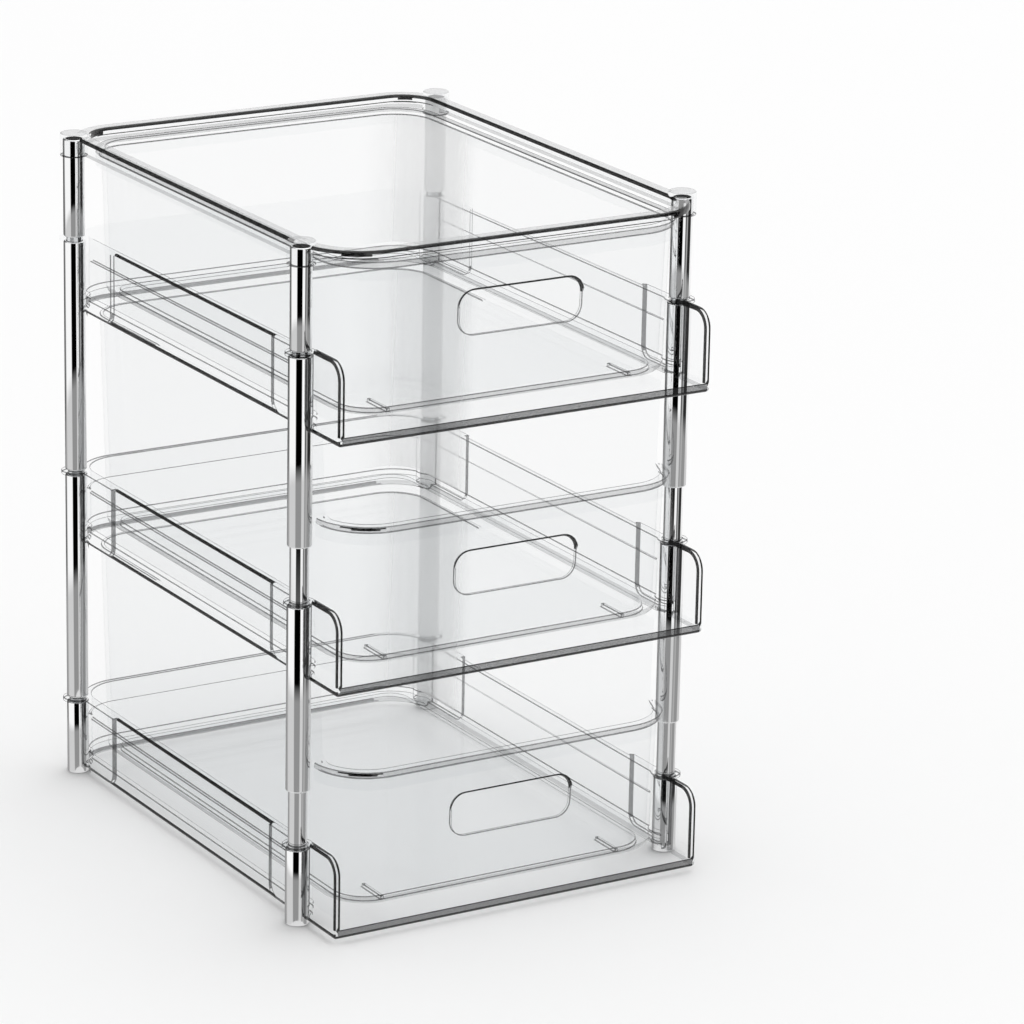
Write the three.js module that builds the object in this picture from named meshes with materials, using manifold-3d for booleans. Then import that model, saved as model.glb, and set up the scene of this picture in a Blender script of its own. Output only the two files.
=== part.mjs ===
// Three-tier medicine organizer: clear trays on chrome posts, with a clear pull-out drawer on each tray.
// Millimetres, +Z up, front towards -Y. The origin is at the middle of the footprint, on the floor.

import * as THREE from "three";
import { mergeVertices } from "three/addons/utils/BufferGeometryUtils.js";
import Module from "manifold-3d";

const wasm = await Module();
wasm.setup();

// Whole stand
const postSpacingX = 220;
const postSpacingY = 250;
const frontReach = 35; // from the front posts to the very front
const rearReach = 17; // from the rear posts to the very back
const trayFootRoom = 2; // under the bottom tray
const tierPitch = 129;
const topDeckHeight = 54.5; // from the top collar to the top of the ring

// Gaps
const fitGap = 0.3; // between pieces that are plugged or stacked
const slideGap = 1.5; // above a sliding drawer
const overrun = 2; // how far a cut runs past the face that it opens

// Posts
const frontLegRadius = 6.25;
const frontTopLegRadius = 5.55;
const rearLegRadius = 5.8;
const neckRadius = 4.9;
const neckLength = 28.5; // bare neck of the front posts above the two lower collars
const hiddenPinRadius = 4.2;
const pinPlugLength = 12; // how far a pin goes into each tube
const legBevel = 0.8;
const footPlugHeight = 8;
const postSides = 16;
const hiddenSides = 12; // of the pins and plugs that don't show

// Ring
const ringOverhang = 0.5; // beyond the post's axis, at the sides
const ringFrontReach = 30; // from the front posts to the ring's front
const ringWidth = 8;
const ringThickness = 4.7;
const ringEdgeRadius = 1.8;
const ringFrontRadius = 33;
const ringRearRadius = 26;
const ringSkirtDrop = 3.8;
const ringSkirtThickness = 2.4;
const bossRadius = 7.3;
const bossRise = 1.8; // above the ring's top
const bossDrop = 6; // below the ring's underside
const bossRoof = 3;
const bossEdgeRadius = 1;

// Trays
const trayHeight = 41;
const trayInsidePosts = 2.3; // from the posts' axes in to the tray's outer side faces
const trayWall = 2.4;
const trayRearRadius = 26;
const trayFrontRadius = 2;
const trayEdgeRadius = 1.5;
const trayFloorRise = 9; // top of the floor above the tray's lower edge
const trayFloorThickness = 2.4;
const guideBandHeight = 12; // the thicker band along the top of the walls
const guideBandThickness = 4.2;
const lipHeight = 5;
const lipDepth = 4;
const lipEdgeRadius = 1.6;
const apronSetback = 2; // of the floor's front edge behind the lip
const lugRadius = 8;
const lugThickness = 2;
const blockReach = 2.2; // how far the corner blocks stand out from the walls
const frontBlockLength = 31;
const rearBlockLength = 42;
const rearBlockTail = 6; // of the rear block behind the post's axis
const blockCornerRadius = 6;
const cheekThickness = 3;
const cheekRise = 2; // of the cheek above the tray's walls
const cheekCornerRadius = 10;
const cheekBeadWidth = 4.2;
const cheekBeadDepth = 3;
const ribSpacing = 140;
const ribLength = 20;
const ribWidth = 2;
const ribHeight = 2;
const ribGap = 1; // behind the drawer's front foot

// Drawers
const rimSideGap = 0.5; // between the drawer's rim and the posts' sleeves
const drawerFrontSetback = 5; // of the rim behind the tray's front
const drawerRearGap = 7; // from the drawer's rim to the tray's outer back
const drawerFrontRadius = 30;
const drawerRearRadius = 24;
const drawerWall = 2.2;
const drawerFloor = 2.2;
const drawerDraft = 0.03; // inward lean of the walls per unit of height
const drawerBaseRadius = 5;
const rimOverhang = 3;
const rimThickness = 3.6;
const rimEdgeRadius = 1.4;
const rimSkirtDrop = 6;
const rimSkirtThickness = 1.6;
const lowFrontHeight = 74;
const footRise = 2.6; // of the underside's middle above the drawer's foot
const footWidth = 7;
const dropSetback = 29; // of the tall sides' front edges behind the rim's front
const dropCornerRadius = 6;
const slotWidth = 70;
const slotHeight = 22.4;
const slotCornerRadius = 8;
const slotDrop = 21.8; // from the front's top to the slot

// Fineness of the round shapes
const cornerSteps = 6;
const edgeSteps = 2;
const slotSteps = 4;

// Places that follow from the sizes above
const overallDepth = frontReach + postSpacingY + rearReach;
const frontY = -overallDepth / 2;
const rearY = overallDepth / 2;
const postX = postSpacingX / 2;
const trayHalfWidth = postX - trayInsidePosts;
const frontPostY = frontY + frontReach;
const rearPostY = rearY - rearReach;
const firstCollarZ = trayFootRoom + trayHeight;
const collarZ = { bottom: firstCollarZ, middle: firstCollarZ + tierPitch, top: firstCollarZ + 2 * tierPitch };
const ringTopZ = collarZ.top + topDeckHeight;
const ringBottomZ = ringTopZ - ringThickness;
const drawerBottomZ = (collar) => collarZ[collar] - trayHeight + trayFloorRise + fitGap;
const deepDrawerHeight = tierPitch - trayFloorRise - fitGap - slideGap;
const topDrawerHeight = ringBottomZ - slideGap - drawerBottomZ("top");

const corners = [
  { name: "front_left", side: -1, isFront: true },
  { name: "front_right", side: 1, isFront: true },
  { name: "rear_left", side: -1, isFront: false },
  { name: "rear_right", side: 1, isFront: false },
];
for (const corner of corners) {
  corner.x = corner.side * postX;
  corner.y = corner.isFront ? frontPostY : rearPostY;
}

// Materials
const clear = { transparent: true, opacity: 0.35, metalness: 0 };
const materials = {
  trayPlastic: () => new THREE.MeshStandardMaterial({ ...clear, color: 0xe8ecee, roughness: 0.06 }),
  drawerPlastic: () => new THREE.MeshStandardMaterial({ ...clear, color: 0xf1f4f5, roughness: 0.05 }),
  ringPlastic: () => new THREE.MeshStandardMaterial({ ...clear, color: 0xe2e6e8, roughness: 0.05 }),
  chrome: () => new THREE.MeshStandardMaterial({ color: 0xd9dcde, metalness: 1, roughness: 0.12 }),
  pinSteel: () => new THREE.MeshStandardMaterial({ color: 0xb9bcbe, metalness: 1, roughness: 0.25 }),
  plugPlastic: () => new THREE.MeshStandardMaterial({ color: 0xdfe2e3, metalness: 0, roughness: 0.4 }),
};

// A closed geometry with only its corners kept, as a solid that can be cut and joined
function solid(geometry) {
  geometry.deleteAttribute("normal");
  geometry.deleteAttribute("uv");
  const merged = mergeVertices(geometry);
  return new wasm.Manifold(
    new wasm.Mesh({
      numProp: 3,
      vertProperties: new Float32Array(merged.attributes.position.array),
      triVerts: new Uint32Array(merged.index.array),
    }),
  );
}

// A solid back as a named mesh
function piece(name, body, material) {
  const mesh = body.getMesh();
  const geometry = new THREE.BufferGeometry();
  geometry.setAttribute("position", new THREE.BufferAttribute(new Float32Array(mesh.vertProperties), 3));
  geometry.setIndex(new THREE.BufferAttribute(new Uint32Array(mesh.triVerts), 1));
  geometry.computeVertexNormals();
  const named = new THREE.Mesh(geometry, material);
  named.name = name;
  return named;
}

// The plan outline of a box with round corners, as points that move inwards by inset
function outlinePoints(outline, inset) {
  const { halfWidth, front, rear, frontRadius, rearRadius } = outline;
  const rounds = [
    { x: halfWidth - rearRadius, y: rear - rearRadius, radius: rearRadius },
    { x: rearRadius - halfWidth, y: rear - rearRadius, radius: rearRadius },
    { x: frontRadius - halfWidth, y: front + frontRadius, radius: frontRadius },
    { x: halfWidth - frontRadius, y: front + frontRadius, radius: frontRadius },
  ];
  return rounds.flatMap((round, quarter) =>
    Array.from({ length: cornerSteps + 1 }, (_, step) => {
      const angle = ((quarter + step / cornerSteps) * Math.PI) / 2;
      const reach = round.radius - inset;
      return [round.x + reach * Math.cos(angle), round.y + reach * Math.sin(angle)];
    }),
  );
}

// A body through one outline at several heights, each level with its own inset
function loft(outline, levels) {
  const rings = levels.map((level) => outlinePoints(outline, level.inset).map(([x, y]) => [x, y, level.z]));
  const count = rings[0].length;
  const middleY = (outline.front + outline.rear) / 2;
  const last = rings.length - 1;
  const positions = [...rings.flat(2), 0, middleY, levels[0].z, 0, middleY, levels[last].z];
  const bottomCentre = rings.length * count;
  const indices = [];
  for (let i = 0; i < count; i += 1) {
    const next = (i + 1) % count;
    for (let ring = 0; ring < last; ring += 1) {
      const low = ring * count;
      const high = low + count;
      indices.push(low + i, low + next, high + next, low + i, high + next, high + i);
    }
    indices.push(bottomCentre, next, i);
    indices.push(bottomCentre + 1, last * count + i, last * count + next);
  }
  const geometry = new THREE.BufferGeometry();
  geometry.setAttribute("position", new THREE.Float32BufferAttribute(positions, 3));
  geometry.setIndex(indices);
  return solid(geometry);
}

// Levels of a bar with round edges: outside ones shrink towards both faces, hole ones widen
function roundedLevels(bottomZ, topZ, radius, towards) {
  const steps = Array.from({ length: edgeSteps + 1 }, (_, step) => (step / edgeSteps) * (Math.PI / 2));
  const lower = steps.map((angle) => ({
    z: bottomZ + radius * (1 - Math.cos(angle)),
    inset: towards * radius * (1 - Math.sin(angle)),
  }));
  const upper = steps.map((angle) => ({
    z: topZ - radius * (1 - Math.sin(angle)),
    inset: towards * radius * (1 - Math.cos(angle)),
  }));
  return [...lower, ...upper];
}

// A bar with round edges that runs round an outline, width wide inside it
function roundedFrame(outline, width, bottomZ, topZ, radius) {
  const outside = loft(outline, roundedLevels(bottomZ, topZ, radius, 1));
  const edges = roundedLevels(bottomZ, topZ, radius, -1);
  const hole = [
    { z: bottomZ - overrun, inset: edges[0].inset },
    ...edges,
    { z: topZ + overrun, inset: edges[0].inset },
  ].map((level) => ({ z: level.z, inset: level.inset + width }));
  return outside.subtract(loft(outline, hole));
}

// A flat band round an outline, thickness thick inside it
function band(outline, thickness, bottomZ, topZ) {
  const outside = loft(outline, [
    { z: bottomZ, inset: 0 },
    { z: topZ, inset: 0 },
  ]);
  const inside = loft(outline, [
    { z: bottomZ - overrun, inset: thickness },
    { z: topZ + overrun, inset: thickness },
  ]);
  return outside.subtract(inside);
}

// A box between two corners
function block([lowX, lowY, lowZ], [highX, highY, highZ]) {
  const geometry = new THREE.BoxGeometry(highX - lowX, highY - lowY, highZ - lowZ);
  geometry.translate((lowX + highX) / 2, (lowY + highY) / 2, (lowZ + highZ) / 2);
  return solid(geometry);
}

// An upright round bar on a post's axis
function bar(x, y, radius, bottomZ, topZ, sides = postSides) {
  const geometry = new THREE.CylinderGeometry(radius, radius, topZ - bottomZ, sides);
  geometry.rotateX(Math.PI / 2);
  geometry.translate(x, y, (bottomZ + topZ) / 2);
  return solid(geometry);
}

// A shape drawn in Y and Z, extruded along X from lowX to highX
function sideways(shape, lowX, highX, curveSegments) {
  const geometry = new THREE.ExtrudeGeometry(shape, {
    depth: highX - lowX,
    bevelEnabled: false,
    curveSegments,
  });
  geometry.applyMatrix4(new THREE.Matrix4().set(0, 0, 1, lowX, 1, 0, 0, 0, 0, 1, 0, 0, 0, 0, 0, 1));
  return solid(geometry);
}

// A round upright piece from a profile of radius and height, on a post's axis
function turned(x, y, profile) {
  const points = profile.map(([radius, z]) => new THREE.Vector2(radius, z));
  const geometry = new THREE.LatheGeometry(points, postSides);
  geometry.rotateX(Math.PI / 2);
  geometry.translate(x, y, 0);
  return solid(geometry);
}

// A chrome tube with bevelled ends
function tube(x, y, radius, boreRadius, bottomZ, topZ) {
  return turned(x, y, [
    [boreRadius, bottomZ],
    [radius - legBevel, bottomZ],
    [radius, bottomZ + legBevel],
    [radius, topZ - legBevel],
    [radius - legBevel, topZ],
    [boreRadius, topZ],
    [boreRadius, bottomZ],
  ]);
}

// The neck of a post at one collar: how wide the pin is and how far it stands bare above the collar
function neckAt(corner, collar) {
  const bare = corner.isFront && collar !== "top";
  return { radius: bare ? neckRadius : hiddenPinRadius, length: bare ? neckLength : 0 };
}

// The widest tube that a tray's corner has to leave room for
function legRadiusBelowTop(corner) {
  return corner.isFront ? frontLegRadius : rearLegRadius;
}

// The tubes of one post, from the ring down to the floor
function legsOf(corner) {
  const storeys = [
    { name: "top_leg", above: "ring", below: "top" },
    { name: "upper_leg", above: "top", below: "middle" },
    { name: "middle_leg", above: "middle", below: "bottom" },
    { name: "foot_leg", above: "bottom", below: "floor" },
  ];
  return storeys.map(({ name, above, below }) => {
    const isTop = above === "ring";
    const isFoot = below === "floor";
    const radius = isTop && corner.isFront ? frontTopLegRadius : legRadiusBelowTop(corner);
    const necks = [isTop ? null : neckAt(corner, above), isFoot ? null : neckAt(corner, below)].filter(Boolean);
    const boreRadius = Math.max(...necks.map((neck) => neck.radius)) + fitGap;
    const bottomZ = isFoot ? 0 : collarZ[below] + fitGap + neckAt(corner, below).length;
    const topZ = isTop ? ringTopZ + bossRise - bossRoof - fitGap : collarZ[above] - lugThickness - fitGap;
    const body = tube(corner.x, corner.y, radius, boreRadius, bottomZ, topZ);
    return piece(`${corner.name}_${name}`, body, materials.chrome());
  });
}

// The pins that join the tubes of one post through the trays' lugs
function pinsOf(corner) {
  return Object.keys(collarZ).map((collar) => {
    const neck = neckAt(corner, collar);
    const bottomZ = collarZ[collar] - lugThickness - pinPlugLength;
    const topZ = collarZ[collar] + neck.length + pinPlugLength;
    const sides = neck.length > 0 ? postSides : hiddenSides;
    const body = bar(corner.x, corner.y, neck.radius, bottomZ, topZ, sides);
    return piece(`${corner.name}_${collar}_pin`, body, materials.pinSteel());
  });
}

// The plug that closes one post's foot
function footPlugOf(corner) {
  const radius = neckAt(corner, "bottom").radius;
  const body = bar(corner.x, corner.y, radius, 0, footPlugHeight, hiddenSides);
  return piece(`${corner.name}_foot_plug`, body, materials.plugPlastic());
}

// The ring: a round-edged bar with a skirt at the sides and back, and a boss over each post
function topRing() {
  const outline = {
    halfWidth: postX + ringOverhang,
    front: frontPostY - ringFrontReach,
    rear: rearY,
    frontRadius: ringFrontRadius,
    rearRadius: ringRearRadius,
  };
  const skirtBottomZ = ringBottomZ - ringSkirtDrop;
  const skirt = band(outline, ringSkirtThickness, skirtBottomZ, ringBottomZ + ringEdgeRadius);
  const open = block(
    [-postSpacingX, outline.front - overrun, skirtBottomZ - overrun],
    [postSpacingX, frontPostY, ringTopZ],
  );
  const bossBottomZ = ringBottomZ - bossDrop;
  const bossTopZ = ringTopZ + bossRise;
  let body = roundedFrame(outline, ringWidth, ringBottomZ, ringTopZ, ringEdgeRadius).add(skirt.subtract(open));
  for (const corner of corners) {
    const boss = turned(corner.x, corner.y, [
      [0, bossBottomZ],
      [bossRadius, bossBottomZ],
      [bossRadius, bossTopZ - bossEdgeRadius],
      [bossRadius - bossEdgeRadius, bossTopZ],
      [0, bossTopZ],
    ]);
    body = body.add(boss);
  }
  for (const corner of corners) {
    const legRadius = corner.isFront ? frontTopLegRadius : rearLegRadius;
    const bore = bar(corner.x, corner.y, legRadius + fitGap, bossBottomZ - overrun, bossTopZ - bossRoof);
    body = body.subtract(bore);
  }
  return piece("top_ring", body, materials.ringPlastic());
}

// The tray's plan outline
const trayOutline = {
  halfWidth: trayHalfWidth,
  front: frontY,
  rear: rearY,
  frontRadius: trayFrontRadius,
  rearRadius: trayRearRadius,
};

// The tray's inner plan outline, open past the front
function trayInside(wall, frontInset) {
  return {
    halfWidth: trayHalfWidth - wall,
    front: frontY + frontInset,
    rear: rearY - wall,
    frontRadius: trayFrontRadius,
    rearRadius: trayRearRadius - wall,
  };
}

// The tray's tub: walls with their guide band, floor and the hollow below it, with the front cut open
function trayTub(bottomZ, topZ) {
  const floorTopZ = bottomZ + trayFloorRise;
  const floorBottomZ = floorTopZ - trayFloorThickness;
  const bandZ = topZ - guideBandHeight;
  const openFront = -overrun - trayFrontRadius;
  const straight = (low, high) => [
    { z: low, inset: 0 },
    { z: high, inset: 0 },
  ];
  const outside = loft(trayOutline, [
    { z: bottomZ, inset: trayEdgeRadius },
    { z: bottomZ + trayEdgeRadius, inset: 0 },
    { z: topZ - trayEdgeRadius / 2, inset: 0 },
    { z: topZ, inset: trayEdgeRadius / 2 },
  ]);
  const room = loft(trayInside(trayWall, openFront), straight(floorTopZ, bandZ));
  const guide = loft(trayInside(guideBandThickness, openFront), straight(bandZ - overrun, topZ + overrun));
  const underside = loft(trayInside(trayWall, lipDepth), straight(bottomZ - overrun, floorBottomZ));
  const above = block(
    [-postSpacingX, frontY - overrun, bottomZ + lipHeight],
    [postSpacingX, frontY + apronSetback, topZ + overrun],
  );
  const cheekPlace = block(
    [-postSpacingX, frontY - overrun, floorTopZ],
    [postSpacingX, frontPostY, topZ + overrun],
  );
  return outside.subtract(room).subtract(guide).subtract(underside).subtract(above).subtract(cheekPlace);
}

// The bar along the tray's front edge
function trayLip(bottomZ) {
  const shape = new THREE.Shape();
  const topZ = bottomZ + lipHeight;
  const backY = frontY + lipDepth;
  shape.moveTo(backY, bottomZ);
  shape.lineTo(backY, topZ);
  shape.lineTo(frontY + lipEdgeRadius, topZ);
  shape.absarc(frontY + lipEdgeRadius, topZ - lipEdgeRadius, lipEdgeRadius, Math.PI / 2, Math.PI, false);
  shape.absarc(frontY + lipEdgeRadius, bottomZ + lipEdgeRadius, lipEdgeRadius, Math.PI, 1.5 * Math.PI, false);
  shape.lineTo(backY, bottomZ);
  return sideways(shape, -trayHalfWidth, trayHalfWidth, edgeSteps);
}

// The outline of a cheek seen from the side, moved inwards by inset
function cheekShape(bottomZ, topZ, inset) {
  const shape = new THREE.Shape();
  const radius = cheekCornerRadius - inset;
  const front = frontY + inset;
  const high = topZ + cheekRise - inset;
  shape.moveTo(frontPostY, bottomZ + inset);
  shape.lineTo(frontPostY, high);
  shape.lineTo(front + radius, high);
  shape.absarc(front + radius, high - radius, radius, Math.PI / 2, Math.PI, false);
  shape.lineTo(front, bottomZ + inset);
  shape.lineTo(frontPostY, bottomZ + inset);
  return shape;
}

// A cheek with its thicker bead along the top and the front edge
function cheek(side, bottomZ, topZ) {
  const outerX = side * trayHalfWidth;
  const span = (thickness, inset) => {
    const faces = [outerX - side * inset, outerX - side * (inset + thickness)];
    return [Math.min(...faces), Math.max(...faces)];
  };
  const panelInset = (cheekBeadWidth - cheekThickness) / 2;
  const panel = sideways(cheekShape(bottomZ, topZ, 0), ...span(cheekThickness, panelInset), slotSteps);
  const bead = sideways(cheekShape(bottomZ, topZ, 0), ...span(cheekBeadWidth, 0), slotSteps);
  const inner = sideways(
    cheekShape(bottomZ - cheekBeadDepth, topZ, cheekBeadDepth),
    ...span(cheekBeadWidth + 2 * overrun, -overrun),
    slotSteps,
  );
  return panel.add(bead.subtract(inner));
}

// A thicker stretch of wall with a half sleeve, which holds one post
function cornerBlock(corner, bottomZ, topZ) {
  const { side, x, y } = corner;
  const length = corner.isFront ? frontBlockLength : rearBlockLength;
  const blockStart = corner.isFront ? y : y - length;
  const blockEnd = corner.isFront ? y + length : y + rearBlockTail;
  const innerX = trayHalfWidth - trayWall;
  const outerX = trayHalfWidth + blockReach;
  const lowZ = bottomZ + trayEdgeRadius;
  const farY = corner.isFront ? blockEnd : blockStart;
  const nearY = corner.isFront ? blockStart : blockEnd;
  const inwards = Math.sign(nearY - farY);
  const shape = new THREE.Shape();
  shape.moveTo(nearY, lowZ);
  shape.lineTo(nearY, topZ);
  shape.lineTo(farY, topZ);
  shape.lineTo(farY, lowZ + blockCornerRadius);
  shape.quadraticCurveTo(farY, lowZ, farY + inwards * blockCornerRadius, lowZ);
  shape.lineTo(nearY, lowZ);
  const faces = [side * innerX, side * outerX];
  const wall = sideways(shape, Math.min(...faces), Math.max(...faces), slotSteps);
  const outside = [side * outerX, side * (outerX + 2 * lugRadius)];
  const beyond = block(
    [Math.min(...outside), y - 2 * lugRadius, bottomZ - overrun],
    [Math.max(...outside), y + 2 * lugRadius, topZ + overrun],
  );
  const sleeve = bar(x, y, lugRadius, lowZ, topZ).subtract(beyond);
  const lug = bar(x, y, lugRadius, topZ - lugThickness, topZ);
  return wall.add(sleeve).add(lug);
}

// The room that one post takes up in a tray: its tube below the lug, its pin, and what stands on the lug
function postRoom(corner, collar, bottomZ, topZ) {
  const { x, y } = corner;
  const lugBottomZ = topZ - lugThickness;
  const legRoom = bar(x, y, legRadiusBelowTop(corner) + fitGap, bottomZ - overrun, lugBottomZ);
  const pinRoom = bar(x, y, neckAt(corner, collar).radius + fitGap, lugBottomZ - overrun, topZ + overrun);
  const roomAbove = bar(x, y, lugRadius, topZ, topZ + cheekRise + overrun);
  return legRoom.add(pinRoom).add(roomAbove);
}

// The two low ribs on the floor that catch the drawer's rear foot when it is pulled out
function stopRib(side, floorTopZ) {
  const shape = new THREE.Shape();
  const footEnd = wallInset(topDrawerHeight, 0) + footWidth;
  const startY = rimOutline.front + footEnd + ribGap;
  const endY = startY + ribLength;
  shape.moveTo(startY, floorTopZ - trayFloorThickness / 2);
  shape.lineTo(endY, floorTopZ - trayFloorThickness / 2);
  shape.lineTo(endY, floorTopZ + ribHeight / 2);
  shape.lineTo(startY + ribHeight, floorTopZ + ribHeight);
  shape.lineTo(startY, floorTopZ);
  shape.closePath();
  const x = (side * ribSpacing) / 2;
  return sideways(shape, x - ribWidth / 2, x + ribWidth / 2, 1);
}

// A whole tray below one collar
function tray(name, collar) {
  const topZ = collarZ[collar];
  const bottomZ = topZ - trayHeight;
  let body = trayTub(bottomZ, topZ).add(trayLip(bottomZ));
  for (const side of [-1, 1]) {
    body = body.add(cheek(side, bottomZ, topZ)).add(stopRib(side, bottomZ + trayFloorRise));
  }
  for (const corner of corners) body = body.add(cornerBlock(corner, bottomZ, topZ));
  for (const corner of corners) body = body.subtract(postRoom(corner, collar, bottomZ, topZ));
  return piece(name, body, materials.trayPlastic());
}

// The drawers' rim in plan
const rimOutline = {
  halfWidth: postX - lugRadius - rimSideGap,
  front: frontY + drawerFrontSetback,
  rear: rearY - drawerRearGap,
  frontRadius: drawerFrontRadius,
  rearRadius: drawerRearRadius,
};

// How far a drawer's leaning wall stands inside its rim's outline at a height
function wallInset(frontHeight, z) {
  return rimOverhang + drawerDraft * (frontHeight - z);
}

// A leaning tub with a round lower edge, inset further by wall
function leaningTub(frontHeight, lowZ, highZ, wall, edgeRadius) {
  const edge = Array.from({ length: edgeSteps + 1 }, (_, step) => {
    const angle = (step / edgeSteps) * (Math.PI / 2);
    const z = lowZ + edgeRadius * (1 - Math.cos(angle));
    return { z, inset: wallInset(frontHeight, z) + wall + edgeRadius * (1 - Math.sin(angle)) };
  });
  return loft(rimOutline, [...edge, { z: highZ, inset: wallInset(frontHeight, highZ) + wall }]);
}

// The rim as a filled slab with its skirt, for the shell's inside to be cut from
function drawerRim(frontHeight) {
  const underZ = frontHeight - rimThickness;
  const slab = loft(rimOutline, roundedLevels(underZ, frontHeight, rimEdgeRadius, 1));
  const skirt = band(rimOutline, rimSkirtThickness, underZ - rimSkirtDrop, underZ + rimEdgeRadius);
  return slab.add(skirt);
}

// What is cut away above a low front, seen from the side
function frontDrop(frontHeight, sideHeight) {
  const radius = dropCornerRadius;
  const dropY = rimOutline.front + dropSetback;
  const outY = rimOutline.front - overrun;
  const shape = new THREE.Shape();
  shape.moveTo(outY, frontHeight);
  shape.lineTo(dropY - radius, frontHeight);
  shape.absarc(dropY - radius, frontHeight + radius, radius, -Math.PI / 2, 0, false);
  shape.lineTo(dropY, sideHeight - radius);
  shape.absarc(dropY + radius, sideHeight - radius, radius, Math.PI, Math.PI / 2, true);
  shape.lineTo(dropY + radius, sideHeight + overrun);
  shape.lineTo(outY, sideHeight + overrun);
  shape.closePath();
  return sideways(shape, -postSpacingX, postSpacingX, slotSteps);
}

// The finger slot's cutter: a round-cornered bar through the front wall
function fingerSlot(frontHeight) {
  const halfWidth = slotWidth / 2 - slotCornerRadius;
  const highZ = frontHeight - slotDrop - slotCornerRadius;
  const lowZ = frontHeight - slotDrop - slotHeight + slotCornerRadius;
  const shape = new THREE.Shape();
  shape.absarc(halfWidth, highZ, slotCornerRadius, 0, Math.PI / 2, false);
  shape.absarc(-halfWidth, highZ, slotCornerRadius, Math.PI / 2, Math.PI, false);
  shape.absarc(-halfWidth, lowZ, slotCornerRadius, Math.PI, 1.5 * Math.PI, false);
  shape.absarc(halfWidth, lowZ, slotCornerRadius, 1.5 * Math.PI, 2 * Math.PI, false);
  shape.closePath();
  const depth = overrun + wallInset(frontHeight, 0) + drawerWall + overrun;
  const geometry = new THREE.ExtrudeGeometry(shape, {
    depth,
    bevelEnabled: false,
    curveSegments: slotSteps,
  });
  geometry.rotateX(Math.PI / 2);
  geometry.translate(0, rimOutline.front - overrun + depth, 0);
  return solid(geometry);
}

// A drawer above one collar's tray: level all round, or with a low front between tall sides
function drawer(name, collar, frontHeight, sideHeight) {
  const floorZ = footRise + drawerFloor;
  const isLevel = frontHeight === sideHeight;
  const ahead = block(
    [-postSpacingX, rimOutline.front - overrun, 0],
    [postSpacingX, rimOutline.front + dropSetback, sideHeight],
  );
  const rim = drawerRim(frontHeight);
  let body = leaningTub(frontHeight, 0, sideHeight, 0, drawerBaseRadius);
  if (!isLevel) body = body.subtract(frontDrop(frontHeight, sideHeight));
  body = body.add(isLevel ? rim : rim.intersect(ahead));
  const room = leaningTub(frontHeight, floorZ, sideHeight + overrun, drawerWall, drawerBaseRadius - drawerWall);
  const recessInset = wallInset(frontHeight, 0) + footWidth;
  const recess = loft(rimOutline, [
    { z: -overrun, inset: recessInset },
    { z: footRise, inset: recessInset },
  ]);
  body = body.subtract(room).subtract(recess).subtract(fingerSlot(frontHeight));
  const mesh = piece(name, body, materials.drawerPlastic());
  mesh.position.z = drawerBottomZ(collar);
  return mesh;
}

const organizer = new THREE.Group();
organizer.add(topRing());
organizer.add(tray("top_tray", "top"), tray("middle_tray", "middle"), tray("bottom_tray", "bottom"));
organizer.add(drawer("top_drawer", "top", topDrawerHeight, topDrawerHeight));
organizer.add(drawer("middle_drawer", "middle", lowFrontHeight, deepDrawerHeight));
organizer.add(drawer("bottom_drawer", "bottom", lowFrontHeight, deepDrawerHeight));
for (const corner of corners) organizer.add(...legsOf(corner), ...pinsOf(corner), footPlugOf(corner));

export default organizer;
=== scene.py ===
# %% [markdown]
# # A clear three-tier drawer organizer
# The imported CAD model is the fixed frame. Every finer piece built here stands in the place of a CAD node,
# in metres, with +Z up and the front towards -Y.

# %% Load the frame
import math

import bpy
from mathutils import Matrix, Vector


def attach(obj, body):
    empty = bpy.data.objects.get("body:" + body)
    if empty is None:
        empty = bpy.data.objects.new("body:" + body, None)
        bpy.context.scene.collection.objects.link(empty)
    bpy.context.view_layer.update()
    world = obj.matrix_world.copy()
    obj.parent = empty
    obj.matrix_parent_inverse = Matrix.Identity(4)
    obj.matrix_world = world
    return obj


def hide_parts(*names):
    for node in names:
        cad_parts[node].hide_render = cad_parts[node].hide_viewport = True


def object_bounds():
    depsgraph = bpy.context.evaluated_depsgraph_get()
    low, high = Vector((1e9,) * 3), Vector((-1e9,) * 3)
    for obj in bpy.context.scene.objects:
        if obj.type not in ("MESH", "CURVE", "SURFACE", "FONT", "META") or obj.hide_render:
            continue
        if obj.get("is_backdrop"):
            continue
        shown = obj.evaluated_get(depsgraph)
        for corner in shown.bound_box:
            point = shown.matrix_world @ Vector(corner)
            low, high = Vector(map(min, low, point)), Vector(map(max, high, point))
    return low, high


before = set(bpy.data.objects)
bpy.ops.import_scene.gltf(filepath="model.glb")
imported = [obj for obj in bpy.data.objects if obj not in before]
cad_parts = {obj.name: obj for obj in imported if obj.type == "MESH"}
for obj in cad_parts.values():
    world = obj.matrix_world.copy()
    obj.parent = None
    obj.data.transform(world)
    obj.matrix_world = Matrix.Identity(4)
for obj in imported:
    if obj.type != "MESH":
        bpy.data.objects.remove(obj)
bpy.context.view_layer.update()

MM = 0.001

# %% [markdown]
# ## Sizes
# A maker's drawing has one list of sizes. These are the same values that the CAD source uses, in millimetres,
# and all the pieces take their places from them, so that they seat in each other without any fitting. An
# outline is half its width, its front and rear, and the radius of its front and rear corners. Only BEYOND is
# no size of the object: cutting tools end there, outside every piece.

# %% Sizes
POST_X = 110
FRONT_POST_Y, REAR_POST_Y = -116, 134
FRONT, REAR = -151, 151
COLLARS = {"top": 301, "middle": 172, "bottom": 43}
STOREY = 129
GAP = 0.3

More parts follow.
